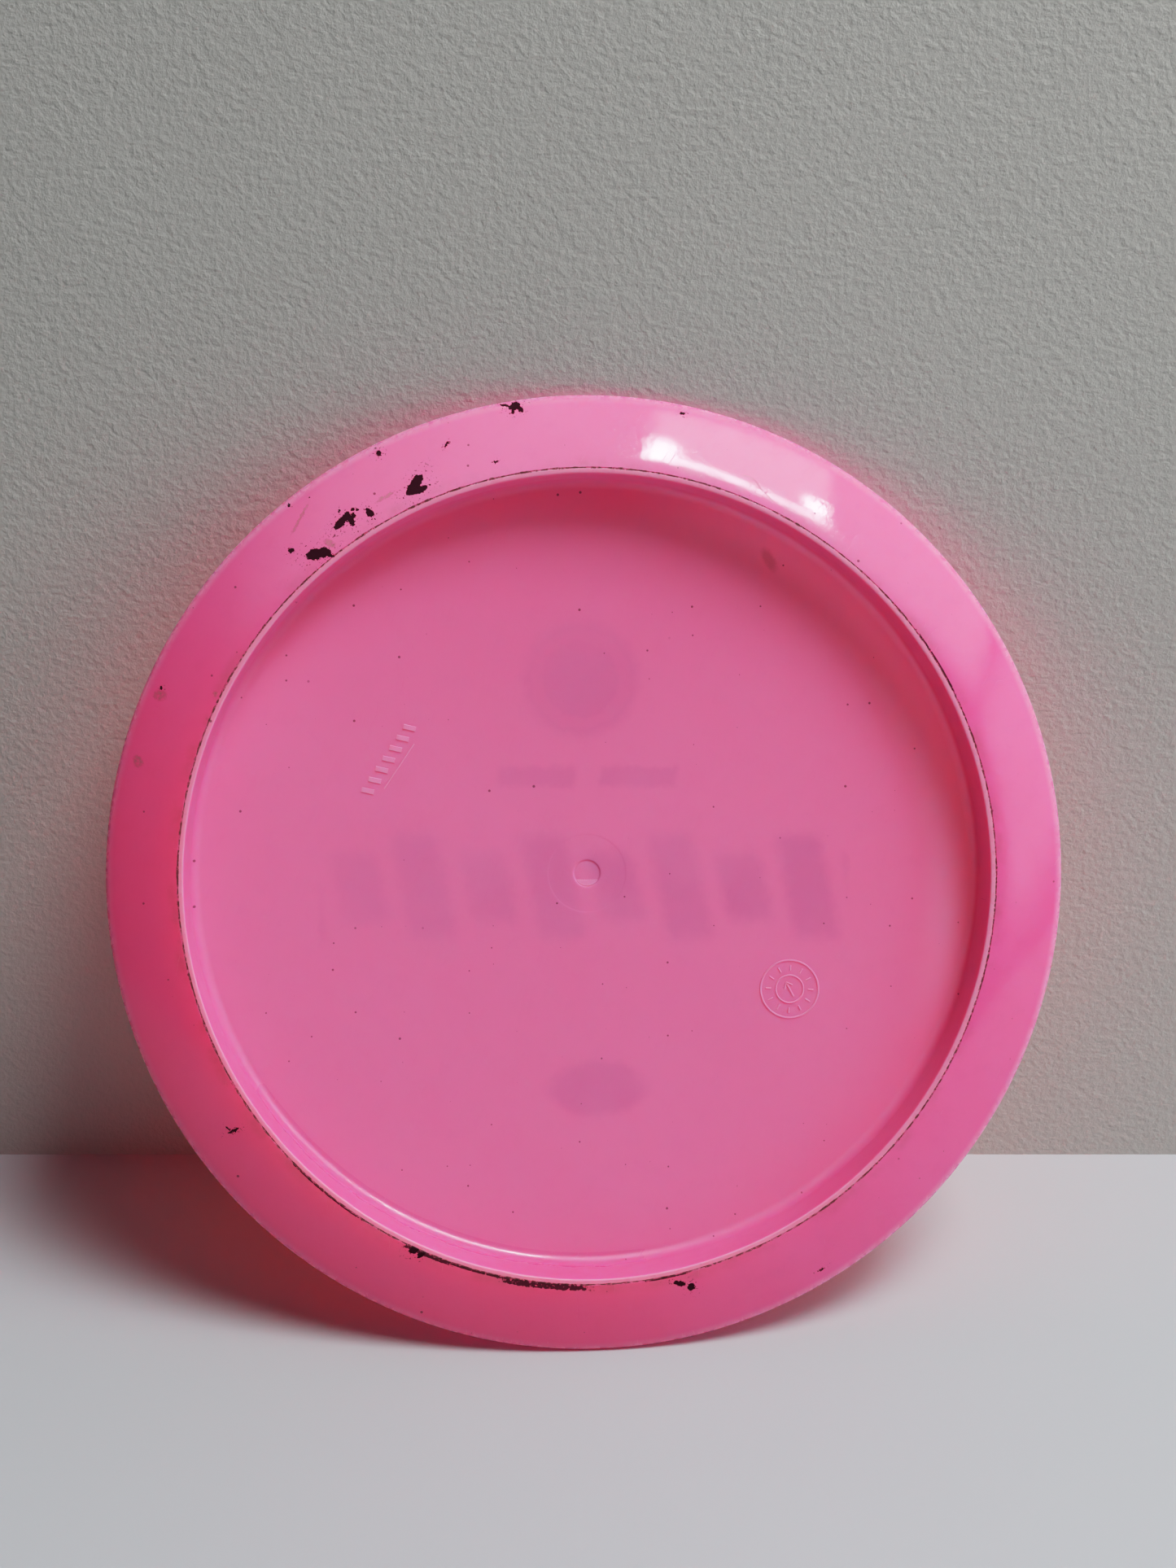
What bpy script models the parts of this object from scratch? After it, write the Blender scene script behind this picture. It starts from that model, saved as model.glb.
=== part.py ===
"""A disc-golf fairway disc: one injection-moulded flight disc and the hot-stamped
foil decoration on its top face.

Frame: metres, +Z up with the disc's top face up. The origin is the centre of the
ring the disc stands on, and +Z is the disc's axis of symmetry.
"""

import math

import bmesh
import bpy

MM = 0.001

# ---- flight disc -------------------------------------------------------------
# Dome: drop below the crown = DOME_DROP * (radius / SHOULDER_R) ** DOME_POWER.
HEIGHT = 18.0 * MM            # rest ring to the crown of the dome
SHOULDER_R = 84.0 * MM        # where the dome turns over into the rim's wing
DOME_DROP = 3.4 * MM          # crown down to the shoulder
DOME_POWER = 2.1
PLATE_T = 1.85 * MM           # flight plate, thickness at the centre
PLATE_T_GROW = 0.30 * MM      # extra thickness at the shoulder
PLATE_T_POWER = 3             # how the extra thickness builds up with radius

# Rounded nose of the rim.
OUTER_R = 105.5 * MM          # centre to the tip of the nose
NOSE_R = 1.6 * MM             # radius of the nose arc
NOSE_Z = 7.0 * MM             # height of the nose above the rest ring
NOSE_TOP_ANGLE = math.radians(40.0)    # where the upper wing meets the nose arc
NOSE_LOW_ANGLE = math.radians(-60.0)   # where the lower wing meets the nose arc

# Wing curves: handle lengths, and the slope at the rest ring.
WING_START = 5.0 * MM         # how far the upper wing keeps the dome's slope
WING_END = 3.5 * MM           # how far it keeps the nose's slope
UNDER_START = 3.0 * MM        # how far the lower wing keeps the nose's slope
UNDER_END = 5.0 * MM          # how far it keeps the rest ring's slope
UNDER_ANGLE = math.radians(11.0)       # slope of the lower wing at the rest ring

# Flat ring the disc rests on, and the inside wall of the rim.
LAND_OUT_R = 89.3 * MM
LAND_IN_R = LAND_OUT_R - 1.05 * MM
LIP_EDGE = 0.30 * MM          # bevel between rest ring and wall, across and up
LIP_R = LAND_IN_R - LIP_EDGE
WALL_DRAFT = 0.20 * MM        # how much the wall closes in from lip to fillet
WALL_R = LIP_R - WALL_DRAFT
FILLET_R = 2.4 * MM           # inside fillet between rim wall and flight plate

# Moulding gate, at the centre of the underside.
PAD_R = 8.7 * MM              # flat pad round the gate
PAD_STEP = 0.15 * MM          # how far the pad is let into the underside
GATE_R = 3.25 * MM            # gate vestige: a shallow round well in the pad
GATE_DEPTH = 0.55 * MM
STEP_SLOPE = 0.25 * MM        # sideways run of the pad's and the well's sloping walls

# Radii at which the section samples the two faces of the flight plate.
TOP_STATIONS_MM = (0.0, 10.0, 22.0, 34.0, 46.0, 57.0, 67.0, 76.0)
UNDER_STATIONS_MM = (76.0, 64.0, 50.0, 36.0, 22.0)
SEGMENTS = 96                 # facets round the disc

# ---- foil decoration, placed on the disc's own x and y -----------------------
FOIL_T = 0.10 * MM            # foil thickness
FOIL_GAP = 0.10 * MM          # clearance over the faceted dome

EMBLEM_CENTRE = (1.6 * MM, 43.5 * MM)
EMBLEM_R = 12.7 * MM          # emblem ring, outer radius
EMBLEM_BORE_R = 10.9 * MM     # emblem ring, inner radius
EMBLEM_RING_STEPS = 40
ROSETTE_R = 9.2 * MM          # scalloped disc inside the ring
ROSETTE_LOBES = 8
ROSETTE_DEPTH = 0.16          # depth of the scallops, as a share of the radius
ROSETTE_STEPS = 8 * ROSETTE_LOBES

RULE_Y = 21.7 * MM            # thin rule between the emblem and the band
RULE_LENGTH = 40.0 * MM
RULE_HEIGHT = 3.4 * MM
RULE_GAP = 6.0 * MM           # the rule is two dashes with this gap between them

BAND_X = (-57.0 * MM, 58.0 * MM)
BAND_Y = (-15.0 * MM, 9.0 * MM)
BAND_BARS = 8                 # slanted bars of the central band
BAND_FILL = 0.70              # share of a bar's pitch that is foil
BAND_SLANT = 5.0 * MM         # how far a bar's top is sheared towards +X
BAND_PITCH = (BAND_X[1] - BAND_X[0]) / BAND_BARS
BAND_TRIM = (BAND_Y[1] - BAND_Y[0]) / 6   # cut from each end of every second bar

LOZENGE_CENTRE = (-2.6 * MM, -48.5 * MM)
LOZENGE_WIDTH = 23.0 * MM
LOZENGE_HEIGHT = 13.0 * MM
LOZENGE_POWER = 1.35          # superellipse power: 1 is a diamond, 2 an ellipse
LOZENGE_STEPS = 32

# Edges that turn by more than this are shaded sharp, in degrees.
DISC_SHARP_ANGLE = 28.0
FOIL_SHARP_ANGLE = 40.0


# ---- surfaces and curves -----------------------------------------------------
def dome_z(radius):
    """Height of the top face at a radius."""
    return HEIGHT - DOME_DROP * (radius / SHOULDER_R) ** DOME_POWER


def plate_under_z(radius):
    """Height of the flight plate's underside at a radius."""
    return dome_z(radius) - PLATE_T - PLATE_T_GROW * (radius / SHOULDER_R) ** PLATE_T_POWER


def offset(point, distance, angle):
    """The 2D point at a distance and direction from another."""
    return (point[0] + distance * math.cos(angle),
            point[1] + distance * math.sin(angle))


def turn_angles(count):
    """Evenly spaced angles round a full turn."""
    return [2 * math.pi * i / count for i in range(count)]


def bezier(start, start_handle, end_handle, end, steps):
    """Points along a cubic curve, leaving out its first point."""
    points = []
    for i in range(1, steps + 1):
        t = i / steps
        weights = ((1 - t) ** 3, 3 * t * (1 - t) ** 2, 3 * t * t * (1 - t), t ** 3)
        controls = (start, start_handle, end_handle, end)
        points.append(tuple(sum(weight * control[axis]
                                for weight, control in zip(weights, controls))
                            for axis in (0, 1)))
    return points


def arc(centre, radius, start_angle, end_angle, steps):
    """steps + 1 points on a circle between two angles."""
    return [offset(centre, radius, start_angle + (end_angle - start_angle) * i / steps)
            for i in range(steps + 1)]


# ---- section of the disc, as (radius, z) points ------------------------------
def outer_section():
    """From the crown over the dome, wing and nose to the rest ring's outer edge."""
    points = [(station * MM, dome_z(station * MM)) for station in TOP_STATIONS_MM]
    shoulder = (SHOULDER_R, dome_z(SHOULDER_R))
    points.append(shoulder)

    # Upper wing: leaves along the dome's slope, arrives square to the nose's radius.
    shoulder_angle = math.atan(-DOME_DROP * DOME_POWER / SHOULDER_R)
    nose_centre = (OUTER_R - NOSE_R, NOSE_Z)
    nose = arc(nose_centre, NOSE_R, NOSE_TOP_ANGLE, NOSE_LOW_ANGLE, steps=5)
    points += bezier(shoulder,
                     offset(shoulder, WING_START, shoulder_angle),
                     offset(nose[0], WING_END, NOSE_TOP_ANGLE + math.pi / 2),
                     nose[0], steps=6)
    points += nose[1:]

    # Lower wing: from the nose in to the rest ring.
    land_edge = (LAND_OUT_R, 0.0)
    points += bezier(nose[-1],
                     offset(nose[-1], UNDER_START, NOSE_LOW_ANGLE - math.pi / 2),
                     offset(land_edge, UNDER_END, UNDER_ANGLE),
                     land_edge, steps=5)
    return points


def inner_section():
    """From the rest ring's inner edge up the wall and along the underside to the axis."""
    points = [(LAND_IN_R, 0.0), (LIP_R, LIP_EDGE)]
    fillet_r = WALL_R - FILLET_R
    fillet_centre = (fillet_r, plate_under_z(fillet_r) - FILLET_R)
    points += arc(fillet_centre, FILLET_R, 0.0, math.pi / 2, steps=4)
    points += [(station * MM, plate_under_z(station * MM)) for station in UNDER_STATIONS_MM]

    pad_rim_z = plate_under_z(PAD_R)
    pad_z = pad_rim_z + PAD_STEP
    well_z = pad_z + GATE_DEPTH
    points += [(PAD_R + STEP_SLOPE, pad_rim_z),
               (PAD_R, pad_z),
               (GATE_R, pad_z),
               (GATE_R - STEP_SLOPE, well_z),
               (0.0, well_z)]
    return points


# ---- scene -------------------------------------------------------------------
for old in list(bpy.data.objects):
    bpy.data.objects.remove(old, do_unlink=True)

collection = bpy.data.collections.new("flying_disc")
bpy.context.scene.collection.children.link(collection)

root = bpy.data.objects.new("disc_frame", None)
root.empty_display_size = 0.02
collection.objects.link(root)


def make_material(name, colour, roughness, metallic=0.0):
    mat = bpy.data.materials.new(name)
    mat.use_nodes = True
    shader = mat.node_tree.nodes["Principled BSDF"]
    shader.inputs["Base Color"].default_value = (*colour, 1.0)
    shader.inputs["Roughness"].default_value = roughness
    shader.inputs["Metallic"].default_value = metallic
    mat.diffuse_color = (*colour, 1.0)
    return mat


pink_plastic = make_material("pink_plastic", colour=(0.63, 0.15, 0.31), roughness=0.28)
foil_dark = make_material("foil_dark", colour=(0.10, 0.075, 0.16), roughness=0.30, metallic=0.85)
foil_teal = make_material("foil_teal", colour=(0.06, 0.17, 0.17), roughness=0.30, metallic=0.85)


def add_object(name, bm, mat, sharp_angle):
    """Turn a bmesh into a smooth-shaded object under the root."""
    bmesh.ops.recalc_face_normals(bm, faces=bm.faces)
    mesh = bpy.data.meshes.new(name)
    bm.to_mesh(mesh)
    bm.free()
    mesh.materials.append(mat)
    mesh.shade_smooth()
    mesh.set_sharp_from_angle(angle=math.radians(sharp_angle))
    obj = bpy.data.objects.new(name, mesh)
    collection.objects.link(obj)
    obj.parent = root


# ---- the moulding ------------------------------------------------------------
def make_disc():
    """One moulding: rim, wing and flight plate, turned from a single section."""
    bm = bmesh.new()
    rings = []
    for radius, z in outer_section() + inner_section():
        # A point on the axis is a single vertex.
        angles = turn_angles(SEGMENTS) if radius > 0.0 else [0.0]
        rings.append([bm.verts.new((*offset((0.0, 0.0), radius, angle), z))
                      for angle in angles])
    for ring, following in zip(rings, rings[1:]):
        for k in range(SEGMENTS):
            n = (k + 1) % SEGMENTS
            if len(ring) == 1:
                bm.faces.new((ring[0], following[k], following[n]))
            elif len(following) == 1:
                bm.faces.new((ring[k], following[0], ring[n]))
            else:
                bm.faces.new((ring[k], following[k], following[n], ring[n]))
    add_object("disc_body", bm, pink_plastic, DISC_SHARP_ANGLE)


# ---- foil solids -------------------------------------------------------------
def dome_vert(bm, point, lift):
    """New vertex at (x, y), lifted off the dome."""
    return bm.verts.new((*point, dome_z(math.hypot(*point)) + lift))


def foil_from_grid(name, grid, mat, closed=False):
    """Thin solid over the dome from rows of (x, y) points. closed joins the last
    row to the first, for rings."""
    bm = bmesh.new()
    low, high = ([[dome_vert(bm, point, lift) for point in row] for row in grid]
                 for lift in (FOIL_GAP, FOIL_GAP + FOIL_T))
    rows, cols = len(grid), len(grid[0])
    for i in range(rows if closed else rows - 1):
        n = (i + 1) % rows
        for j in range(cols - 1):
            bm.faces.new((high[i][j], high[n][j], high[n][j + 1], high[i][j + 1]))
            bm.faces.new((low[i][j], low[i][j + 1], low[n][j + 1], low[n][j]))
        for j in (0, cols - 1):
            bm.faces.new((low[i][j], low[n][j], high[n][j], high[i][j]))
    if not closed:
        for i in (0, rows - 1):
            for j in range(cols - 1):
                bm.faces.new((low[i][j], low[i][j + 1], high[i][j + 1], high[i][j]))
    add_object(name, bm, mat, FOIL_SHARP_ANGLE)


def foil_from_outline(name, outline, centre, mat, loop_count=3):
    """Thin solid over the dome from a star-shaped outline of (x, y) points, filled
    with scaled copies of the outline round its centre."""
    bm = bmesh.new()
    sides = [(i, (i + 1) % len(outline)) for i in range(len(outline))]
    rims = []
    for lift in (FOIL_GAP, FOIL_GAP + FOIL_T):
        hub = dome_vert(bm, centre, lift)
        loops = []
        for k in range(1, loop_count + 1):
            scaled = [(centre[0] + (x - centre[0]) * k / loop_count,
                       centre[1] + (y - centre[1]) * k / loop_count) for x, y in outline]
            loops.append([dome_vert(bm, point, lift) for point in scaled])
        for i, n in sides:
            bm.faces.new((hub, loops[0][i], loops[0][n]))
            for inner, outer in zip(loops, loops[1:]):
                bm.faces.new((inner[i], outer[i], outer[n], inner[n]))
        rims.append(loops[-1])
    low, high = rims
    for i, n in sides:
        bm.faces.new((low[i], low[n], high[n], high[i]))
    add_object(name, bm, mat, FOIL_SHARP_ANGLE)


def bar_grid(x0, x1, y0, y1, slant, nx, ny):
    """Grid of points over a bar sheared sideways by slant from bottom to top."""
    return [[(x0 + (x1 - x0) * j / nx + slant * (i / ny - 0.5), y0 + (y1 - y0) * i / ny)
             for j in range(nx + 1)] for i in range(ny + 1)]


# ---- the decoration ----------------------------------------------------------
def make_emblem_ring():
    grid = [[offset(EMBLEM_CENTRE, radius, angle) for radius in (EMBLEM_BORE_R, EMBLEM_R)]
            for angle in turn_angles(EMBLEM_RING_STEPS)]
    foil_from_grid("foil_emblem_ring", grid, foil_teal, closed=True)


def make_emblem_rosette():
    outline = []
    for angle in turn_angles(ROSETTE_STEPS):
        dip = 0.5 - 0.5 * math.cos(ROSETTE_LOBES * angle)
        outline.append(offset(EMBLEM_CENTRE, ROSETTE_R * (1.0 - ROSETTE_DEPTH * dip), angle))
    foil_from_outline("foil_emblem_rosette", outline, EMBLEM_CENTRE, foil_teal)


def make_rule():
    end, gap = RULE_LENGTH / 2, RULE_GAP / 2
    for side, x0, x1 in (("left", -end, -gap), ("right", gap, end)):
        grid = bar_grid(x0, x1, RULE_Y - RULE_HEIGHT / 2, RULE_Y + RULE_HEIGHT / 2,
                        slant=0.0, nx=4, ny=2)
        foil_from_grid(f"foil_rule_{side}", grid, foil_dark)


def make_band():
    """Slanted bars, alternating between full height and two thirds of it."""
    half_width = BAND_PITCH * BAND_FILL / 2
    for i in range(BAND_BARS):
        middle = BAND_X[0] + BAND_PITCH * (i + 0.5)
        trim = BAND_TRIM * (i % 2)
        grid = bar_grid(middle - half_width, middle + half_width,
                        BAND_Y[0] + trim, BAND_Y[1] - trim, slant=BAND_SLANT, nx=3, ny=6)
        foil_from_grid(f"foil_band_bar_{i + 1}", grid, foil_dark)


def make_lozenge():
    outline = []
    for angle in turn_angles(LOZENGE_STEPS):
        x, y = math.cos(angle), math.sin(angle)
        scale = (abs(x) ** LOZENGE_POWER + abs(y) ** LOZENGE_POWER) ** (-1 / LOZENGE_POWER)
        outline.append((LOZENGE_CENTRE[0] + LOZENGE_WIDTH / 2 * scale * x,
                        LOZENGE_CENTRE[1] + LOZENGE_HEIGHT / 2 * scale * y))
    foil_from_outline("foil_lozenge", outline, LOZENGE_CENTRE, foil_dark)


make_disc()
make_emblem_ring()
make_emblem_rosette()
make_rule()
make_band()
make_lozenge()
bpy.context.view_layer.update()
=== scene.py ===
"""Looks for the flying disc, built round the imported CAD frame.

The CAD says where every piece is. This script makes the fine surfaces (a finely turned
moulding with its parting line, gate well and moulded marks, and thin foil on the top),
gives each a procedural material, and adds a plain stage, soft lights and a camera.
"""

import math

import bmesh
import bpy
import numpy as np
from mathutils import Matrix, Vector


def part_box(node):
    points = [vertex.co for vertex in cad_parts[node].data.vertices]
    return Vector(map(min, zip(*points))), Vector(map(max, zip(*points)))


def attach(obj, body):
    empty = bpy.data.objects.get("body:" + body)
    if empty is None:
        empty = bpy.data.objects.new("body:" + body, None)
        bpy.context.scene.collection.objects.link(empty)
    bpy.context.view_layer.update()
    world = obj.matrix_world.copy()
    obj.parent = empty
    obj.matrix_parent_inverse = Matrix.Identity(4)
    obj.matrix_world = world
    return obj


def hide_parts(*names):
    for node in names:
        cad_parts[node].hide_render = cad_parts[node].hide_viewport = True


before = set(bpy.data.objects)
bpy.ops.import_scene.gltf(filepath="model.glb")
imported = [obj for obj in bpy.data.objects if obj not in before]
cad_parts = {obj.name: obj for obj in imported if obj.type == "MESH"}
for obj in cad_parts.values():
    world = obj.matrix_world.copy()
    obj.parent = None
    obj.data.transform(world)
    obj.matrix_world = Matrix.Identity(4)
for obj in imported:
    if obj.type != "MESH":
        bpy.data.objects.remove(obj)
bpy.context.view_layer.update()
body_lo, body_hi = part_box("disc_body")
MM = 0.001

# ---------------------------------------------------------------------------
# The section, in millimetres. Outer radius and height are the CAD body's own.
# ---------------------------------------------------------------------------
OUTER_R = body_hi.x / MM
HEIGHT = body_hi.z / MM
NOSE_R, NOSE_Z = 1.6, 7.0
SHOULDER_R, DOME_DROP, DOME_POWER = 84.0, 3.4, 2.1
NOSE_TOP, NOSE_LOW = 40.0, -60.0
WING_START, WING_END = 5.0, 3.5
UNDER_START, UNDER_END, UNDER_ANGLE = 3.0, 5.0, 11.0
LAND_OUT, LAND_IN = 89.3, 88.40
LIP_R, LIP_ROUND = 87.95, 0.45
WALL_R, FILLET_R = 87.75, 2.4
PLATE_T, PLATE_GROW = 1.85, 0.30
PAD_R, PAD_STEP = 8.7, 0.05
GATE_R, GATE_DEPTH = 3.0, 0.27
SEGMENTS = 400


def dome_z(r):
    return HEIGHT - DOME_DROP * (r / SHOULDER_R) ** DOME_POWER


def under_z(r):
    return dome_z(r) - PLATE_T - PLATE_GROW * (r / SHOULDER_R) ** 3


def bezier(p0, p1, p2, p3, n):
    out = []
    for i in range(1, n + 1):
        t = i / n
        a, b, c, d = (1 - t) ** 3, 3 * t * (1 - t) ** 2, 3 * t * t * (1 - t), t ** 3
        out.append((a * p0[0] + b * p1[0] + c * p2[0] + d * p3[0], a * p0[1] + b * p1[1] + c * p2[1] + d * p3[1]))
    return out


def arc(cx, cz, r, a0, a1, n):
    return [(cx + r * math.cos(math.radians(a0 + (a1 - a0) * i / n)),
             cz + r * math.sin(math.radians(a0 + (a1 - a0) * i / n))) for i in range(n + 1)]


def section():
    """(r, z) from the crown, down the outer side and back along the underside to the centre."""
    pts = [(r, dome_z(r)) for r in np.linspace(0.0, SHOULDER_R, 50)]
    cx = OUTER_R - NOSE_R
    top, low = math.radians(NOSE_TOP), math.radians(NOSE_LOW)
    slope = math.atan(-DOME_DROP * DOME_POWER / SHOULDER_R)
    p0 = pts[-1]
    p1 = (p0[0] + WING_START * math.cos(slope), p0[1] + WING_START * math.sin(slope))
    p3 = (cx + NOSE_R * math.cos(top), NOSE_Z + NOSE_R * math.sin(top))
    p2 = (p3[0] - WING_END * math.sin(top), p3[1] + WING_END * math.cos(top))
    pts += bezier(p0, p1, p2, p3, 30)
    pts += arc(cx, NOSE_Z, NOSE_R, NOSE_TOP, NOSE_LOW, 16)[1:]
    q0 = pts[-1]
    q1 = (q0[0] + UNDER_START * math.sin(low), q0[1] - UNDER_START * math.cos(low))
    q3 = (LAND_OUT + 0.10, 0.012)
    a = math.radians(UNDER_ANGLE)
    q2 = (q3[0] + UNDER_END * math.cos(a), q3[1] + UNDER_END * math.sin(a))
    pts += bezier(q0, q1, q2, q3, 34)
    # The mould's parting line: a fine groove with a slight bead on each side.
    for dr, z in ((0.05, 0.002), (0.00, 0.03), (-0.05, 0.10), (-0.09, 0.115), (-0.13, 0.09), (-0.18, 0.02), (-0.23, 0.0)):
        pts.append((LAND_OUT + dr, z))
    pts += [(LAND_OUT - 0.5, 0.0)]
    # Rounded lip, then the inside wall with its draft.
    pts += arc(LAND_IN, LIP_ROUND, LIP_ROUND, -90.0, -180.0, 7)
    corner = under_z(WALL_R - FILLET_R)
    z0, z1 = LIP_ROUND, corner - FILLET_R
    for i in range(1, 8):
        t = i / 8
        pts.append((LIP_R + (WALL_R - LIP_R) * t, z0 + (z1 - z0) * t))
    pts += arc(WALL_R - FILLET_R, corner - FILLET_R, FILLET_R, 0.0, 90.0, 16)
    pts += [(r, under_z(r)) for r in np.linspace(84.0, PAD_R + 0.6, 44)]
    # Pad and gate well.
    rim = under_z(PAD_R)
    pad = rim + PAD_STEP
    pts += [(PAD_R + 0.25, rim), (PAD_R + 0.12, rim + 0.15 * PAD_STEP), (PAD_R - 0.02, rim + 0.8 * PAD_STEP), (PAD_R - 0.15, pad)]
    pts += [(r, pad) for r in (7.4, 6.2, 5.0, 4.1, 3.45)]
    pts += [(GATE_R + dr, pad + dz) for dr, dz in ((0.15, 0.01), (0.06, 0.04), (-0.02, 0.10), (-0.09, 0.19), (-0.19, 0.25))]
    pts += [(r, pad + GATE_DEPTH) for r in (2.68, 2.5, 2.3, 2.1, 1.9, 1.7, 1.5, 1.3, 1.1, 0.85, 0.55, 0.25)]
    pts.append((0.0, pad + GATE_DEPTH))
    return pts


# ---------------------------------------------------------------------------
# Mesh helpers
# ---------------------------------------------------------------------------
def mesh_object(name, verts, faces, smooth=True, sharp=None):
    """Object from vertices in millimetres."""
    me = bpy.data.meshes.new(name)
    me.from_pydata([(x * MM, y * MM, z * MM) for x, y, z in verts], [], faces)
    me.validate()
    if smooth:
        me.shade_smooth()
    if sharp is not None:
        me.set_sharp_from_angle(angle=math.radians(sharp))
    ob = bpy.data.objects.new(name, me)
    bpy.context.scene.collection.objects.link(ob)
    return ob


def turned(pts, segments):
    """Closed solid of revolution from a section that starts and ends on the axis."""
    ang = np.arange(segments) * (2 * math.pi / segments)
    c, s = np.cos(ang), np.sin(ang)
    verts, rings = [], []
    for r, z in pts:
        if r <= 1e-9:
            rings.append(np.array([len(verts)]))
            verts.append((0.0, 0.0, z))
        else:
            rings.append(np.arange(len(verts), len(verts) + segments))
            verts += list(zip((r * c).tolist(), (r * s).tolist(), [z] * segments))
    faces = []
    for a, b in zip(rings, rings[1:]):
        for k in range(segments):
            n = (k + 1) % segments
            if len(a) == 1:
                faces.append((int(a[0]), int(b[k]), int(b[n])))
            elif len(b) == 1:
                faces.append((int(a[k]), int(b[0]), int(a[n])))
            else:
                faces.append((int(a[k]), int(b[k]), int(b[n]), int(a[n])))
    return verts, faces


def swept_band(path, width, closed, high=0.22, deep=0.5, soft=0.08):
    """A raised band along a path on the flight plate's underside, as a closed solid.
    It stands high out of the surface and goes deep into it, so that a union joins it."""
    p = np.array(path, float)
    n = len(p)
    nxt = np.roll(p, -1, axis=0) - p
    prv = p - np.roll(p, 1, axis=0)
    if not closed:
        nxt[-1], prv[0] = prv[-1], nxt[0]
    nxt /= np.linalg.norm(nxt, axis=1)[:, None]
    prv /= np.linalg.norm(prv, axis=1)[:, None]
    t = nxt + prv
    t /= np.linalg.norm(t, axis=1)[:, None]
    side = np.stack([-t[:, 1], t[:, 0]], 1) / np.maximum(0.3, (t * nxt).sum(1))[:, None]
    half = width / 2
    ring = ((half, deep), (half, -(high - soft)), (half - soft, -high), (-half + soft, -high), (-half, -(high - soft)), (-half, deep))
    verts, faces = [], []
    for i in range(n):
        for off, lift in ring:
            x, y = p[i] + side[i] * off
            verts.append((x, y, under_z(math.hypot(x, y)) + lift))
    m = len(ring)
    for i in range(n if closed else n - 1):
        j = (i + 1) % n
        for k in range(m):
            q = (k + 1) % m
            faces.append((i * m + k, i * m + q, j * m + q, j * m + k))
    if not closed:
        faces.append(tuple(range(m)))
        faces.append(tuple((n - 1) * m + k for k in reversed(range(m))))
    return verts, faces


def make_marks():
    """Generic moulded marks on the underside: a plain date-wheel dial and a row of slanted
    dashes over a fine rule. They carry no lettering."""
    bands = []

    def place(pts, centre, turn):
        c, s = math.cos(turn), math.sin(turn)
        return [(centre[0] + x * c - y * s, centre[1] + x * s + y * c) for x, y in pts]

    def circle(r, n=72):
        return [(r * math.cos(2 * math.pi * i / n), r * math.sin(2 * math.pi * i / n)) for i in range(n)]

    dial, turn = (-45.8, -26.2), math.radians(-28)
    bands.append((place(circle(6.5, 96), dial, turn), 0.42, True))
    bands.append((place(circle(3.1, 60), dial, turn), 0.36, True))
    for i in range(12):
        a = 2 * math.pi * i / 12
        c, s = math.cos(a), math.sin(a)
        bands.append((place([((4.2 + 0.4 * k) * c, (4.2 + 0.4 * k) * s) for k in range(4)], dial, turn), 0.34, False))
    bands.append((place([(0.0, -1.9 + 0.4 * k) for k in range(9)], dial, turn), 0.42, False))
    bands.append((place([(-1.0, 0.5), (-0.5, 1.1), (0.0, 1.7)], dial, turn), 0.36, False))
    bands.append((place([(1.0, 0.5), (0.5, 1.1), (0.0, 1.7)], dial, turn), 0.36, False))

    centre, turn = (44.3, 25.6), math.radians(123.5)
    for i in range(7):
        x = -8.4 + 2.8 * i
        bands.append((place([(x - 0.5 + 0.25 * k, -1.3 + 0.65 * k) for k in range(5)], centre, turn), 1.15, False))
    bands.append((place([(-6.0 + 0.8 * k, 2.75) for k in range(16)], centre, turn), 0.32, False))

    verts, faces = [], []
    for path, width, closed in bands:
        v, f = swept_band(path, width, closed)
        base = len(verts)
        verts += v
        faces += [tuple(base + i for i in q) for q in f]
    return verts, faces


def make_body():
    pts = section()
    verts, faces = turned(pts, SEGMENTS)
    # The gate was snipped: the lower part of the well's floor rises in a straight-edged ramp.
    pad = under_z(PAD_R) + PAD_STEP
    out = []
    for x, y, z in verts:
        r = math.hypot(x, y)
        if r < GATE_R - 0.15 and z > pad + 0.22 and z < pad + 1.0 and y < -1.45:
            t = min(1.0, (-y - 1.45) / 1.3)
            z = z - 0.15 * t - 0.05 * min(1.0, (-y - 1.45) / 0.10)
        out.append((x, y, z))
    body = mesh_object("disc_moulding", out, faces)
    marks = mesh_object("marks", *make_marks())
    for ob in (body, marks):
        bm = bmesh.new()
        bm.from_mesh(ob.data)
        bmesh.ops.recalc_face_normals(bm, faces=bm.faces)
        bm.to_mesh(ob.data)
        bm.free()
    join = body.modifiers.new("marks", "BOOLEAN")
    join.operation, join.solver, join.object = "UNION", "MANIFOLD", marks
    bpy.context.view_layer.update()
    done = bpy.data.meshes.new_from_object(body.evaluated_get(bpy.context.evaluated_depsgraph_get()))
    body.modifiers.clear()
    body.data = done
    done.name = "disc_moulding"
    done.shade_smooth()
    done.set_sharp_from_angle(angle=math.radians(33))
    bpy.data.objects.remove(marks)
    return body


# ---- foil ----------------------------------------------------------------------
FOIL_UP, FOIL_DOWN = 0.035, 0.03


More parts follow.
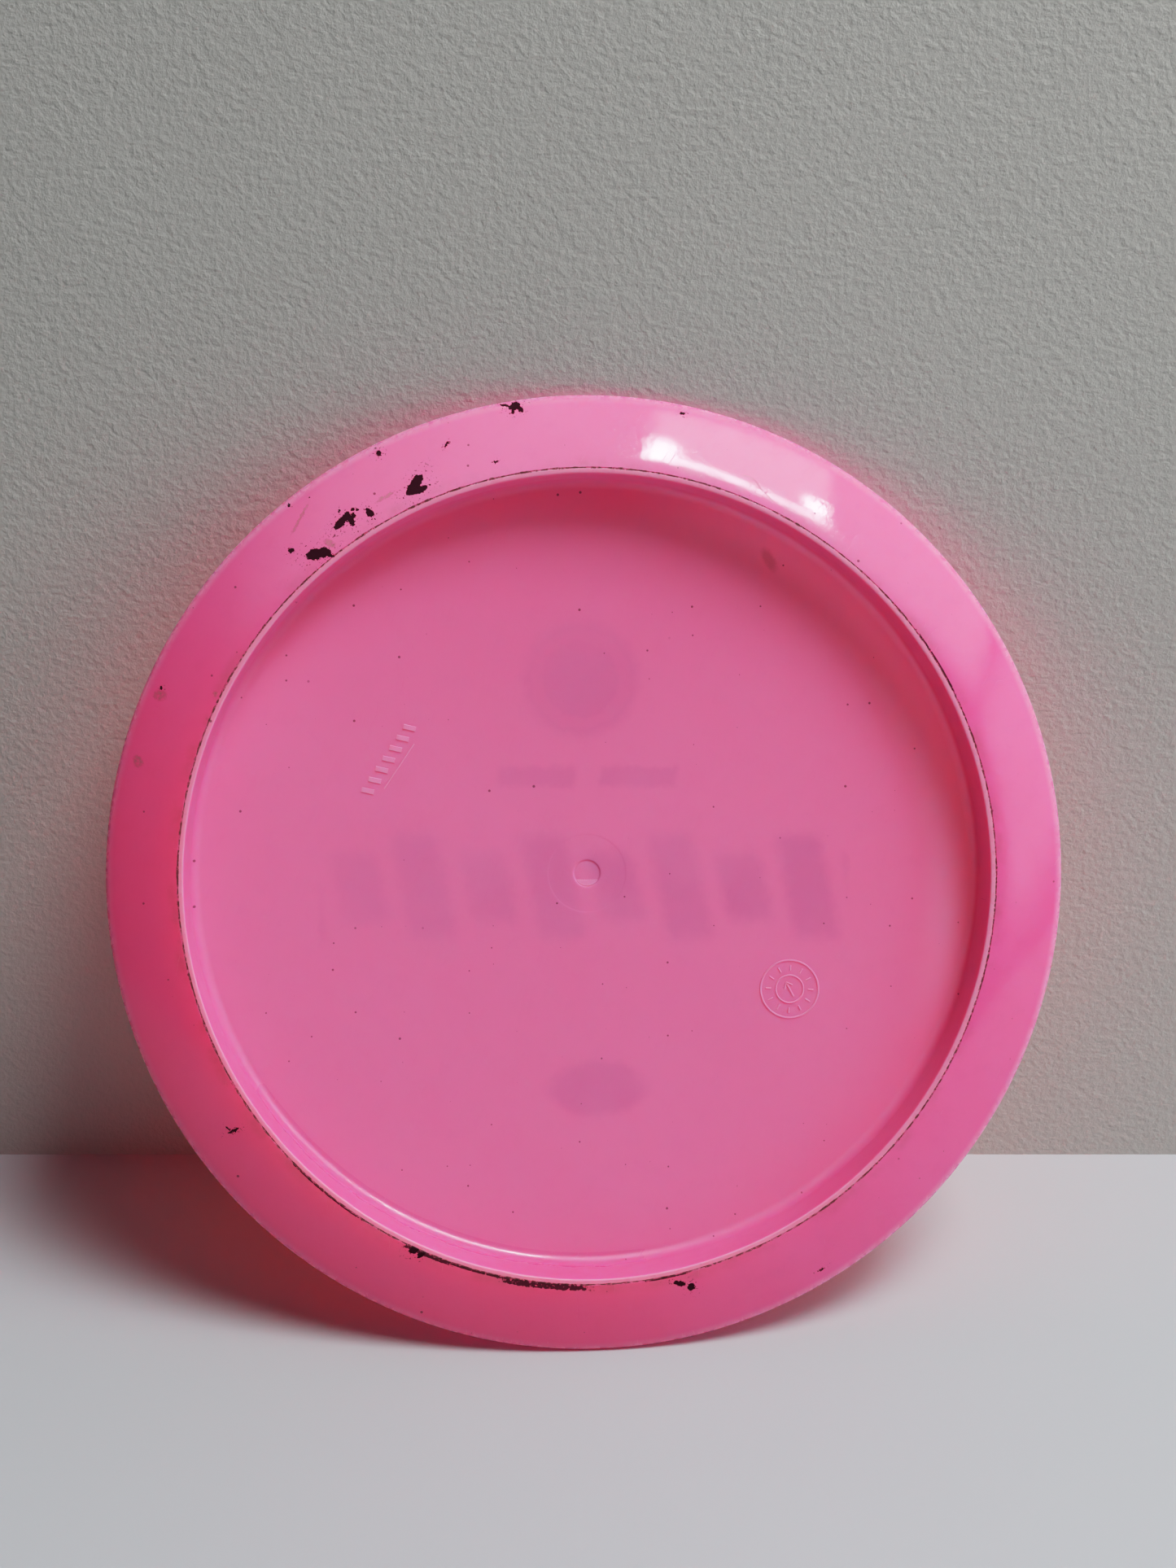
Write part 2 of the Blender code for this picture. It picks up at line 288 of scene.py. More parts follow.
def rounded(poly, radius, steps=5):
    """Polygon with rounded corners."""
    out, n = [], len(poly)
    for i in range(n):
        p, a, b = Vector(poly[i]), Vector(poly[i - 1]), Vector(poly[(i + 1) % n])
        u, v = (a - p).normalized(), (b - p).normalized()
        half = math.acos(max(-1, min(1, u.dot(v)))) / 2
        d = radius / math.tan(half)
        c = p + (u + v).normalized() * (radius / math.sin(half))
        s, e = p + u * d - c, p + v * d - c
        a0, a1 = math.atan2(s.y, s.x), math.atan2(e.y, e.x)
        while a1 - a0 > math.pi:
            a1 -= 2 * math.pi
        while a1 - a0 < -math.pi:
            a1 += 2 * math.pi
        out += [(c.x + radius * math.cos(a0 + (a1 - a0) * k / steps), c.y + radius * math.sin(a0 + (a1 - a0) * k / steps))
                for k in range(steps + 1)]
    return out


def densified(poly, step=0.8):
    out = []
    for i, p in enumerate(poly):
        q = poly[(i + 1) % len(poly)]
        d = math.hypot(q[0] - p[0], q[1] - p[1])
        n = max(1, int(d / step))
        out += [(p[0] + (q[0] - p[0]) * k / n, p[1] + (q[1] - p[1]) * k / n) for k in range(n)]
    return out


def foil_fill(name, outline, centre, rings=9):
    """Thin closed film over the dome, filled by shrinking the outline towards its centre."""
    n = len(outline)
    verts, faces = [], []
    loops = []
    for lift in (FOIL_UP, -FOIL_DOWN):
        hub = len(verts)
        verts.append((centre[0], centre[1], dome_z(math.hypot(*centre)) + lift))
        side = []
        for k in range(1, rings + 1):
            s = k / rings
            side.append(len(verts))
            # The film's edge is thinner than its middle.
            edge = 0.45 if (k == rings and lift > 0) else 1.0
            for x, y in outline:
                px, py = centre[0] + (x - centre[0]) * s, centre[1] + (y - centre[1]) * s
                verts.append((px, py, dome_z(math.hypot(px, py)) + lift * edge))
        for a in range(n):
            b = (a + 1) % n
            tri = (hub, side[0] + a, side[0] + b)
            faces.append(tri if lift > 0 else tri[::-1])
            for k in range(rings - 1):
                q = (side[k] + a, side[k + 1] + a, side[k + 1] + b, side[k] + b)
                faces.append(q if lift > 0 else q[::-1])
        loops.append(side[-1])
    for a in range(n):
        b = (a + 1) % n
        faces.append((loops[0] + a, loops[1] + a, loops[1] + b, loops[0] + b))
    return mesh_object(name, verts, faces, sharp=40)


def foil_ring(name, centre, r0, r1, n=160, m=5):
    verts, faces, grids = [], [], []
    for lift in (FOIL_UP, -FOIL_DOWN):
        grid = []
        for i in range(n):
            a = 2 * math.pi * i / n
            row = []
            for j in range(m + 1):
                r = r0 + (r1 - r0) * j / m
                x, y = centre[0] + r * math.cos(a), centre[1] + r * math.sin(a)
                edge = 0.45 if lift > 0 and j in (0, m) else 1.0
                row.append(len(verts))
                verts.append((x, y, dome_z(math.hypot(x, y)) + lift * edge))
            grid.append(row)
        grids.append(grid)
    up, dn = grids
    for i in range(n):
        k = (i + 1) % n
        for j in range(m):
            faces.append((up[i][j], up[i][j + 1], up[k][j + 1], up[k][j]))
            faces.append((dn[i][j], dn[k][j], dn[k][j + 1], dn[i][j + 1]))
        faces.append((up[i][m], dn[i][m], dn[k][m], up[k][m]))
        faces.append((up[i][0], up[k][0], dn[k][0], dn[i][0]))
    return mesh_object(name, verts, faces, sharp=40)


def make_foil():
    """The same decoration as the CAD's foil nodes, each at its node's place."""
    made = []

    def middle(node):
        lo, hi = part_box(node)
        return ((lo.x + hi.x) / 2 / MM, (lo.y + hi.y) / 2 / MM), ((hi.x - lo.x) / MM, (hi.y - lo.y) / MM)

    c, size = middle("foil_emblem_ring")
    made.append((foil_ring("foil_ring", c, size[0] / 2 - 1.8, size[0] / 2), "foil_emblem_ring", "foil_teal"))
    core = []
    for i in range(192):
        a = 2 * math.pi * i / 192
        r = 9.2 * (1.0 - 0.16 * (0.5 - 0.5 * math.cos(8 * a)))
        core.append((c[0] + r * math.cos(a), c[1] + r * math.sin(a)))
    made.append((foil_fill("foil_rosette", core, c), "foil_emblem_rosette", "foil_teal"))
    for side in ("left", "right"):
        c, size = middle(f"foil_rule_{side}")
        w, h = size[0] / 2, size[1] / 2
        box = rounded([(c[0] - w, c[1] - h), (c[0] + w, c[1] - h), (c[0] + w, c[1] + h), (c[0] - w, c[1] + h)], 0.7)
        made.append((foil_fill(f"foil_dash_{side}", densified(box), c, 8), f"foil_rule_{side}", "foil_dark"))
    for i in range(1, 9):
        c, size = middle(f"foil_band_bar_{i}")
        slant = 5.0
        w, h = (size[0] - slant) / 2, size[1] / 2
        bar = [(c[0] - w - slant / 2, c[1] - h), (c[0] + w - slant / 2, c[1] - h),
               (c[0] + w + slant / 2, c[1] + h), (c[0] - w + slant / 2, c[1] + h)]
        made.append((foil_fill(f"foil_bar_{i}", densified(rounded(bar, 0.9)), c, 12), f"foil_band_bar_{i}", "foil_dark"))
    c, size = middle("foil_lozenge")
    loz = []
    for i in range(160):
        a = 2 * math.pi * i / 160
        u, v = math.cos(a), math.sin(a)
        k = 1.0 / (abs(u) ** 1.35 + abs(v) ** 1.35) ** (1 / 1.35)
        loz.append((c[0] + size[0] / 2 * k * u, c[1] + size[1] / 2 * k * v))
    made.append((foil_fill("foil_mark", loz, c), "foil_lozenge", "foil_dark"))
    return made


# ---------------------------------------------------------------------------
# Node helper
# ---------------------------------------------------------------------------
class Graph:
    """Builds a material's nodes from nested calls. Arguments are sockets or plain numbers."""

    def __init__(self, name):
        self.mat = bpy.data.materials.new(name)
        self.mat.use_nodes = True
        self.tree = self.mat.node_tree
        self.tree.nodes.clear()
        self.out = self.tree.nodes.new("ShaderNodeOutputMaterial")

    def node(self, kind, ins=None, **props):
        n = self.tree.nodes.new(kind)
        for k, v in props.items():
            setattr(n, k, v)
        for k, v in (ins or {}).items():
            self.put(n.inputs[k], v)
        return n

    def put(self, socket, value):
        if isinstance(value, bpy.types.NodeSocket):
            self.tree.links.new(value, socket)
        elif value is not None:
            if socket.type == "RGBA" and not isinstance(value, (int, float)) and len(value) == 3:
                value = (*value, 1.0)
            socket.default_value = value

    def m(self, op, a, b=None, c=None, clamp=False):
        n = self.node("ShaderNodeMath", operation=op, use_clamp=clamp)
        for i, v in enumerate((a, b, c)):
            if v is not None:
                self.put(n.inputs[i], v)
        return n.outputs[0]

    def vm(self, op, a, b=None, scale=None):
        n = self.node("ShaderNodeVectorMath", operation=op)
        self.put(n.inputs[0], a)
        if b is not None:
            self.put(n.inputs[1], b)
        if scale is not None:
            self.put(n.inputs["Scale"], scale)
        return n.outputs["Value"] if op in ("LENGTH", "DOT_PRODUCT", "DISTANCE") else n.outputs["Vector"]

    def vec(self, x, y, z):
        n = self.node("ShaderNodeCombineXYZ")
        for i, v in enumerate((x, y, z)):
            self.put(n.inputs[i], v)
        return n.outputs[0]

    def split(self, v):
        n = self.node("ShaderNodeSeparateXYZ")
        self.put(n.inputs[0], v)
        return n.outputs[0], n.outputs[1], n.outputs[2]

    def step(self, v, lo, hi, a=0.0, b=1.0):
        """Smooth step of v from lo to hi, giving a to b."""
        n = self.node("ShaderNodeMapRange", interpolation_type="SMOOTHSTEP")
        for i, x in enumerate((v, lo, hi, a, b)):
            self.put(n.inputs[i], x)
        return n.outputs[0]

    def band(self, v, centre, half, soft):
        """1 inside centre +- half, falling to 0 over soft."""
        return self.step(self.m("ABSOLUTE", self.m("SUBTRACT", v, centre)), half, half + soft, 1.0, 0.0)

    def noise(self, v, scale, detail=2.0, rough=0.5, distort=0.0, colour=False):
        n = self.node("ShaderNodeTexNoise", {"Scale": scale, "Detail": detail, "Roughness": rough, "Distortion": distort})
        self.put(n.inputs["Vector"], v)
        return n.outputs["Color"] if colour else n.outputs[0]

    def mix(self, t, a, b, blend="MIX"):
        n = self.node("ShaderNodeMix", data_type="RGBA", blend_type=blend)
        self.put(n.inputs[0], t)
        self.put(n.inputs[6], a)
        self.put(n.inputs[7], b)
        return n.outputs[2]

    def place(self, v, centre, half, turn):
        """v in the frame of an ellipse: its edge is at length 1."""
        n = self.node("ShaderNodeMapping", vector_type="TEXTURE")
        self.put(n.inputs["Vector"], v)
        n.inputs["Location"].default_value = (centre[0], centre[1], 0.0)
        n.inputs["Rotation"].default_value = (0.0, 0.0, math.radians(turn))
        n.inputs["Scale"].default_value = (half[0], half[1], 1.0)
        return n.outputs[0]

    def finish(self, shader):
        self.tree.links.new(shader, self.out.inputs["Surface"])
        return self.mat


def ellipses(g, flat, spots):
    """Distance-like field: below 1 inside any of the spots (x, y, half length, half width, turn)."""
    field = None
    for x, y, a, b, turn in spots:
        d = g.vm("LENGTH", g.place(flat, (x, y), (a, b), turn))
        field = d if field is None else g.m("MINIMUM", field, d)
    return field


PINK_A, PINK_B = (0.88, 0.145, 0.345), (0.86, 0.130, 0.320)
PINK_SATIN = (0.86, 0.235, 0.42)
GHOST = 0.40
ROUGH_WING, ROUGH_PLATE = 0.05, 0.54
SSS_RADIUS, SSS_SCALE, SSS_WEIGHT = (1.0, 0.16, 0.23), 0.0048, 1.0
THROUGH_BACK, THROUGH_ON = (0.11, 0.14, 0.28), (0.88, 0.12, 0.12)
THICK_BACK, THICK_ON = (0.36, 0.21, 0.34), (0.60, 0.045, 0.055)
EDGE_BACK, EDGE_ON = (0.12, 0.12, 0.22), (0.87, 0.26, 0.48)


# Soil on the rim's underside: (x, y, half length, half width, turn) in mm and degrees.
SOIL = [
    (37.9, 85.9, 1.15, 0.55, 128), (38.6, 84.4, 1.05, 0.60, 140), (36.9, 84.2, 1.0, 0.34, 150),
    (54.3, 76.9, 1.05, 0.42, 128), (53.0, 78.3, 0.75, 0.42, 120), (51.9, 77.6, 0.85, 0.30, 60), (51.5, 78.4, 0.5, 0.25, 100),
    (47.9, 79.2, 0.62, 0.40, 50), (51.6, 80.0, 0.22, 0.20, 0), (50.6, 79.8, 0.26, 0.16, 130), (54.4, 79.6, 0.20, 0.14, 90),
    (59.6, 70.2, 1.15, 0.62, 170), (57.9, 70.6, 1.0, 0.52, 165), (56.1, 69.9, 0.55, 0.18, 20),
    (64.7, 71.0, 0.40, 0.30, 0), (61.0, 82.8, 0.14, 0.12, 0),
    (16.6, 102.8, 0.75, 0.45, 160), (15.6, 102.2, 0.55, 0.30, 35), (16.9, 101.7, 0.45, 0.18, 120), (18.6, 102.9, 0.75, 0.12, 12),
    (46.1, 92.3, 0.42, 0.34, 40), (31.4, 94.2, 0.42, 0.14, 130), (20.7, 90.4, 0.42, 0.12, 170), (65.5, 81.0, 0.25, 0.16, 60),
    (77.6, -54.7, 0.75, 0.16, 155), (78.9, -54.2, 0.45, 0.10, 40), (92.8, 41.4, 0.22, 0.16, 0),
    (-51.8, -87.6, 0.55, 0.10, 150), (-19.9, 101.5, 0.28, 0.20, 0), (-22.4, -90.2, 0.55, 0.42, 20), (-19.8, -89.3, 0.85, 0.30, 10),
    (38.5, -80.9, 0.75, 0.42, 150), (36.9, -82.1, 0.65, 0.26, 140),
]
SOIL = [(x, y, a * 1.22, b * 1.42, turn) for x, y, a, b, turn in SOIL]
# Heavier dirt packed along the parting line, as (middle angle, half span, how wide) in degrees and mm.
PACKED = [(-83.5, 8.6, 1.30), (-66.5, 5.0, 0.75), (-74.0, 7.0, 0.45), (-50.0, 9.0, 0.30), (-101.0, 4.0, 0.35), (148.0, 7.0, 0.28)]


# A dull zigzag scuff on the glossy wing: its corner points in mm.
ZIGZAG = [(-32.96, 87.89), (-34.21, 87.55), (-35.45, 86.85), (-36.13, 85.6), (-37.88, 83.66), (-39.29, 82.26)]
SCUFF = [((a[0] + b[0]) / 2, (a[1] + b[1]) / 2, math.dist(a, b) / 2, 0.10, math.degrees(math.atan2(b[1] - a[1], b[0] - a[0])))
         for a, b in zip(ZIGZAG, ZIGZAG[1:])]


def disc_plastic():
    """Glossy, slightly translucent pink thermoplastic with the wear and dirt of a used disc."""
    g = Graph("pink_thermoplastic")
    coord = g.node("ShaderNodeTexCoord")
    p = g.vm("SCALE", coord.outputs["Object"], scale=1000.0)
    x, y, z = g.split(p)
    _, _, nz = g.split(coord.outputs["Normal"])
    flat = g.vec(x, y, 0.0)
    r = g.vm("LENGTH", flat)
    under = g.step(nz, 0.05, -0.12)
    angle = g.m("MULTIPLY", g.m("ARCTAN2", y, x), 180.0 / math.pi)

    ux, uy = g.m("DIVIDE", x, r), g.m("DIVIDE", y, r)

    def towards(deg, lo, hi):
        """1 on the side of the disc at this CAD angle, by the cosine from lo to hi."""
        a = math.radians(deg)
        return g.step(g.m("ADD", g.m("MULTIPLY", ux, math.cos(a)), g.m("MULTIPLY", uy, math.sin(a))), lo, hi)

    # Colour: a deep translucent pink with slow flow-like variation.
    slow = g.noise(p, 0.022, 3.0, 0.55)
    mid = g.noise(p, 0.22, 4.0, 0.6)
    pink = g.mix(g.step(slow, 0.30, 0.70), PINK_A, PINK_B)
    pink = g.mix(g.m("MULTIPLY", g.step(mid, 0.45, 0.75), 0.10), pink, (0.60, 0.09, 0.24))

    pink = g.mix(g.m("MULTIPLY", g.step(nz, 0.35, 0.10), g.step(r, 88.4, 86.0, 0.0, 1.0)), pink, g.mix(0.5, pink, PINK_SATIN))

    # The land inside the parting line is paler and duller, and so is the scuffed outer edge.
    land = g.m("MULTIPLY", g.m("MULTIPLY", g.step(r, 87.95, 88.15), g.step(r, 89.22, 89.08)), g.m("MULTIPLY", under, g.step(z, 1.2, 0.5)))
    pink = g.mix(g.m("MULTIPLY", land, 0.62), pink, (0.86, 0.36, 0.46))
    edge = g.m("MULTIPLY", g.step(r, 103.4, 105.0), g.step(g.noise(p, 0.6, 3.0, 0.6), 0.25, 0.55, 0.45, 1.0))
    pink = g.mix(g.m("MULTIPLY", edge, 0.42), pink, (0.96, 0.43, 0.60))
    # Painted glow: the wing next to the parting line, on the side at CAD angle -40°, is painted redder to stand in for
    # light that crosses the thick rim.
    painted_glow_side = g.m("MULTIPLY", g.step(r, 89.2, 89.5), g.m("MULTIPLY", under, towards(-40.0, 0.05, 0.75)))
    pink = g.mix(g.m("MULTIPLY", painted_glow_side, 0.60), pink, (0.90, 0.095, 0.225))
    # Painted glow: a brighter red spreads outward from the parting line over that side of the wing.
    glow = g.m("MULTIPLY", g.step(r, 96.0, 89.9), painted_glow_side)
    pink = g.mix(g.m("MULTIPLY", glow, 0.22), pink, (0.975, 0.110, 0.200))

    # Painted shade: the plate and fillet are painted darker towards the top, away from the light.
    pink = g.mix(g.m("MULTIPLY", g.m("MULTIPLY", g.step(y, 22.0, 78.0), g.step(r, 87.6, 86.9)), 0.34), pink, (0.64, 0.115, 0.275))
    # Painted light: the fillet and inside wall on the side away from the window are painted paler, standing in for the
    # light that reaches them there.
    painted_fill_light = g.m("MULTIPLY", g.m("MULTIPLY", g.step(r, 74.0, 84.0), g.step(r, 87.6, 86.9)), towards(150.0, 0.52, 0.90))
    pink = g.mix(g.m("MULTIPLY", painted_fill_light, 0.74), pink, (0.95, 0.38, 0.62))

    # The foil on the top face shows through the thin plate as a soft darker ghost.
    plate = g.m("MULTIPLY", under, g.step(r, 84.0, 80.0))
    hollow = g.m("MULTIPLY", g.step(nz, 0.35, 0.10), g.step(r, 88.35, 87.9))
    wob = g.vm("SCALE", g.vm("SUBTRACT", g.noise(p, 0.35, 2.0, 0.5, colour=True), (0.5, 0.5, 0.5)), scale=2.4)
    gx, gy, _ = g.split(g.vm("ADD", p, wob))
    pitch = 115.0 / 8.0
    slid = g.m("SUBTRACT", gx, g.m("MULTIPLY", g.m("SUBTRACT", gy, -3.0), 5.0 / 24.0))
    cell = g.m("DIVIDE", g.m("SUBTRACT", slid, -57.0), pitch)
    frac = g.m("FRACT", cell)
    bar = g.step(g.m("ABSOLUTE", g.m("SUBTRACT", frac, 0.5)), 0.22, 0.48, 1.0, 0.0)
    odd = g.step(g.m("FRACT", g.m("MULTIPLY", g.m("FLOOR", cell), 0.5)), 0.2, 0.3)
    tall = g.m("SUBTRACT", 11.6, g.m("MULTIPLY", odd, 4.0))
    inband = g.m("MULTIPLY", g.step(g.m("SUBTRACT", g.m("ABSOLUTE", g.m("SUBTRACT", gy, -3.0)), tall), -2.4, 2.2, 1.0, 0.0),
                 g.band(gx, 0.5, 58.5, 1.5))
    ghost = g.m("MULTIPLY", bar, inband)
    disc = g.step(g.vm("LENGTH", g.vm("SUBTRACT", g.vec(gx, gy, 0.0), (1.6, 43.5, 0.0))), 10.2, 14.8, 1.0, 0.0)
    hole = g.band(g.vm("LENGTH", g.vm("SUBTRACT", g.vec(gx, gy, 0.0), (1.6, 43.5, 0.0))), 9.8, 0.6, 1.2)
    ghost = g.m("MAXIMUM", ghost, g.m("MULTIPLY", disc, g.m("SUBTRACT", 1.0, g.m("MULTIPLY", hole, 0.35))))
    rule = g.m("MULTIPLY", g.band(gy, 21.7, 1.2, 2.0), g.band(g.m("ABSOLUTE", gx), 11.5, 7.6, 2.2))
    ghost = g.m("MAXIMUM", ghost, g.m("MULTIPLY", rule, 0.85))
    loz = g.step(g.vm("LENGTH", g.place(g.vec(gx, gy, 0.0), (-2.6, -48.5), (11.5, 6.5), 0.0)), 0.72, 1.15, 1.0, 0.0)
    ghost = g.m("MULTIPLY", g.m("MAXIMUM", ghost, loz), plate)
    ghost = g.m("MULTIPLY", ghost, g.step(g.noise(p, 0.05, 2.0, 0.5), 0.35, 0.62, 0.55, 1.0))
    ghost = g.m("MULTIPLY", ghost, g.step(gx, 45.0, -25.0, 0.50, 1.0))
    pink = g.mix(g.m("MULTIPLY", ghost, GHOST), pink, (0.56, 0.105, 0.275))
    # The moulded marks' raised faces are paler, and the snipped gate's floor is painted paler as a highlight.
    part = g.m("DIVIDE", r, SHOULDER_R)
    face = g.m("SUBTRACT", HEIGHT - PLATE_T, g.m("ADD", g.m("MULTIPLY", g.m("POWER", part, DOME_POWER), DOME_DROP), g.m("MULTIPLY", g.m("POWER", part, 3.0), PLATE_GROW)))
    raised = g.m("MULTIPLY", g.m("MULTIPLY", g.step(g.m("SUBTRACT", face, z), 0.06, 0.16), g.step(r, 80.0, 78.0)), under)
    painted_gate_highlight = g.m("MULTIPLY", g.m("MULTIPLY", g.step(r, GATE_R, GATE_R - 0.2), g.step(y, -1.35, -1.50)), under)
    pink = g.mix(g.m("MAXIMUM", g.m("MULTIPLY", raised, 0.38), g.m("MULTIPLY", painted_gate_highlight, 0.26)), pink, (0.94, 0.36, 0.54))

    # Dirt. Outlines are broken up by noise at two sizes.
    jag = g.vm("ADD",
               g.vm("SCALE", g.vm("SUBTRACT", g.noise(p, 1.1, 2.0, 0.6, colour=True), (0.5, 0.5, 0.5)), scale=1.1),
               g.vm("SCALE", g.vm("SUBTRACT", g.noise(p, 3.6, 3.0, 0.65, colour=True), (0.5, 0.5, 0.5)), scale=0.62))
    jx, jy, _ = g.split(g.vm("ADD", p, jag))
    wing = g.m("MULTIPLY", under, g.m("MULTIPLY", g.step(r, 88.8, 89.2), g.step(z, 8.0, 7.2)))
    spread = ellipses(g, g.vec(jx, jy, 0.0), SOIL)
    soil = g.step(spread, 1.36, 1.46, 1.0, 0.0)
    crumbs = g.m("MULTIPLY", g.step(g.noise(p, 2.1, 2.0, 0.55), 0.635, 0.655), g.step(spread, 4.8, 2.2))
    soil = g.m("MULTIPLY", g.m("MAXIMUM", soil, crumbs), wing)

    # The fine dark line that collects in the parting groove, and packed dirt beside it.
    patchy = g.noise(g.vec(x, y, 0.0), 0.30, 4.0, 0.65)
    line_w = g.m("ADD", 0.06, g.m("MULTIPLY", g.step(patchy, 0.35, 0.75), 0.20))
    off = g.m("ABSOLUTE", g.m("SUBTRACT", r, g.m("ADD", 89.21, g.m("MULTIPLY", g.m("SUBTRACT", patchy, 0.5), 0.18))))
    line = g.step(g.m("SUBTRACT", off, line_w), 0.0, 0.10, 1.0, 0.0)
    line = g.m("MULTIPLY", line, g.step(g.noise(flat, 0.9, 4.0, 0.7), 0.42, 0.53, 0.12, 1.0))
    line = g.m("MULTIPLY", line, g.step(z, 0.6, 0.3))
    packed = None
    grit = g.noise(p, 1.25, 4.0, 0.7)
    for mid_a, span, wide in PACKED:
        along = g.step(g.m("ABSOLUTE", g.m("SUBTRACT", angle, mid_a)), span * 0.45, span, 1.0, 0.0)
        across = g.step(g.m("ABSOLUTE", g.m("SUBTRACT", r, 89.3 + wide * 0.45)), wide * 0.35, wide * 0.75, 1.0, 0.0)
        one = g.m("MULTIPLY", along, across)
        packed = one if packed is None else g.m("MAXIMUM", packed, one)
    packed = g.m("MULTIPLY", g.step(g.m("ADD", packed, g.m("MULTIPLY", g.m("SUBTRACT", grit, 0.5), 3.4)), 0.50, 0.72), g.m("MULTIPLY", under, g.step(packed, 0.02, 0.15)))
    dark = g.m("MAXIMUM", g.m("MAXIMUM", soil, g.m("MULTIPLY", line, 0.62)), g.m("MULTIPLY", packed, 0.92))

    # Tiny specks everywhere on the underside, a few on the top.
    vor = g.node("ShaderNodeTexVoronoi", {"Scale": 0.20, "Randomness": 1.0}, feature="F1", voronoi_dimensions="2D")
    g.put(vor.inputs["Vector"], g.vec(g.m("ADD", x, g.m("MULTIPLY", under, 333.0)), y, 0.0))
    cr, cg_, _ = g.split(vor.outputs["Color"])
    size = g.m("MULTIPLY", g.m("POWER", cr, 5.0), 0.062)
    speck = g.step(g.m("SUBTRACT", vor.outputs["Distance"], size), -0.006, 0.006, 1.0, 0.0)
    speck = g.m("MULTIPLY", speck, g.step(cg_, 0.52, 0.62))
    speck = g.m("MULTIPLY", speck, g.m("ADD", 0.25, g.m("MULTIPLY", under, 0.75)))
    dark = g.m("MAXIMUM", dark, g.m("MULTIPLY", speck, g.m("ADD", 0.35, g.m("MULTIPLY", under, 0.35))))

    # Thin brown film near the rest ring, on the lower rim, and a stain inside the rim.
    film = g.m("MULTIPLY", g.m("MULTIPLY", g.m("MULTIPLY", g.step(r, 92.4, 90.0), g.step(r, 88.8, 89.2)), under),
               g.step(g.noise(p, 0.12, 4.0, 0.6), 0.38, 0.72))
    stain = g.step(g.vm("LENGTH", g.place(g.vec(jx, jy, 0.0), (-40.2, 70.2), (3.4, 1.5), 60.0)), 0.4, 1.1, 1.0, 0.0)
    film = g.m("MAXIMUM", g.m("MULTIPLY", film, 0.30), g.m("MULTIPLY", g.m("MULTIPLY", stain, under), 0.35))
    smudge = g.m("MULTIPLY", g.step(ellipses(g, g.vec(jx, jy, 0.0), [
        (93.2, 39.8, 1.6, 1.2, 0), (98.0, 25.6, 1.5, 1.1, 60), (63.0, 78.0, 4.2, 0.35, 118), (56.4, 72.6, 1.4, 0.8, 30),
        (44.6, 82.6, 2.2, 0.5, 150), (80.9, 40.2, 0.9, 0.5, 60), (82.6, 34.6, 0.8, 0.4, 70)]), 0.5, 1.2, 1.0, 0.0), wing)
    film = g.m("MAXIMUM", film, g.m("MULTIPLY", smudge, g.step(grit, 0.35, 0.62, 0.15, 0.75)))
    scuff = g.m("MULTIPLY", g.step(ellipses(g, g.vec(g.m("ADD", x, g.m("MULTIPLY", g.m("SUBTRACT", jx, x), 0.35)),
                                                     g.m("ADD", y, g.m("MULTIPLY", g.m("SUBTRACT", jy, y), 0.35)), 0.0), SCUFF), 0.9, 1.5, 1.0, 0.0), under)
    film = g.m("MAXIMUM", g.m("MAXIMUM", film, g.m("MULTIPLY", scuff, 0.30)), g.m("MULTIPLY", line, 0.92))
    base = g.mix(film, pink, (0.33, 0.085, 0.095))
    base = g.mix(g.m("MULTIPLY", dark, 0.97), base, (0.012, 0.003, 0.004))

    # Surface: fine orange peel, light handling scratches, satin plate underneath.
    swirl = g.noise(g.vec(g.m("MULTIPLY", r, 6.0), g.m("MULTIPLY", angle, 0.05), 0.0), 1.0, 2.0, 0.5)
    hair = g.noise(g.vec(g.m("MULTIPLY", r, 3.2), g.m("MULTIPLY", angle, 0.22), 7.0), 1.0, 3.0, 0.6)
    hair = g.m("MULTIPLY", g.step(hair, 0.60, 0.70), g.step(g.noise(p, 0.16, 2.0, 0.5), 0.45, 0.62))
    seam_shine = g.m("MULTIPLY", g.m("MULTIPLY", g.step(r, 84.6, 85.6), g.step(r, 88.0, 87.6)), towards(-66.0, 0.72, 0.92))
    peel = g.noise(p, 0.9, 3.0, 0.55)
    grain = g.noise(p, 7.0, 3.0, 0.6)
    scr_a = g.node("ShaderNodeTexWave", {"Scale": 0.30, "Distortion": 9.0, "Detail": 3.0, "Detail Scale": 0.35, "Detail Roughness": 0.6},
                   wave_type="BANDS", bands_direction="DIAGONAL")
    g.put(scr_a.inputs["Vector"], g.vec(x, g.m("MULTIPLY", y, 0.35), z))
    scratch = g.m("MULTIPLY", g.step(scr_a.outputs[1], 0.985, 1.0), g.step(mid, 0.48, 0.62))
    top = g.m("SUBTRACT", 1.0, g.m("MAXIMUM", under, hollow))
    rough = g.m("ADD", ROUGH_WING, g.m("MULTIPLY", g.step(mid, 0.35, 0.75), 0.05))
    rough = g.m("ADD", rough, g.m("MULTIPLY", hollow, ROUGH_PLATE - ROUGH_WING))
    rough = g.m("SUBTRACT", rough, g.m("MULTIPLY", seam_shine, 0.44))
    rough = g.m("ADD", rough, g.m("MULTIPLY", top, 0.10))
    rough = g.m("ADD", rough, g.m("ADD", g.m("MULTIPLY", g.m("MAXIMUM", land, edge), 0.22), g.m("MULTIPLY", hair, 0.10)))
    rough = g.m("ADD", rough, g.m("MULTIPLY", scuff, 0.40))
    rough = g.m("ADD", rough, g.m("MULTIPLY", scratch, 0.18))
    rough = g.m("ADD", rough, g.m("MULTIPLY", g.m("MAXIMUM", dark, film), 0.45), clamp=True)
    height = g.m("ADD", g.m("MULTIPLY", peel, 0.012), g.m("MULTIPLY", grain, g.m("ADD", 0.0012, g.m("MULTIPLY", hollow, 0.0030))))
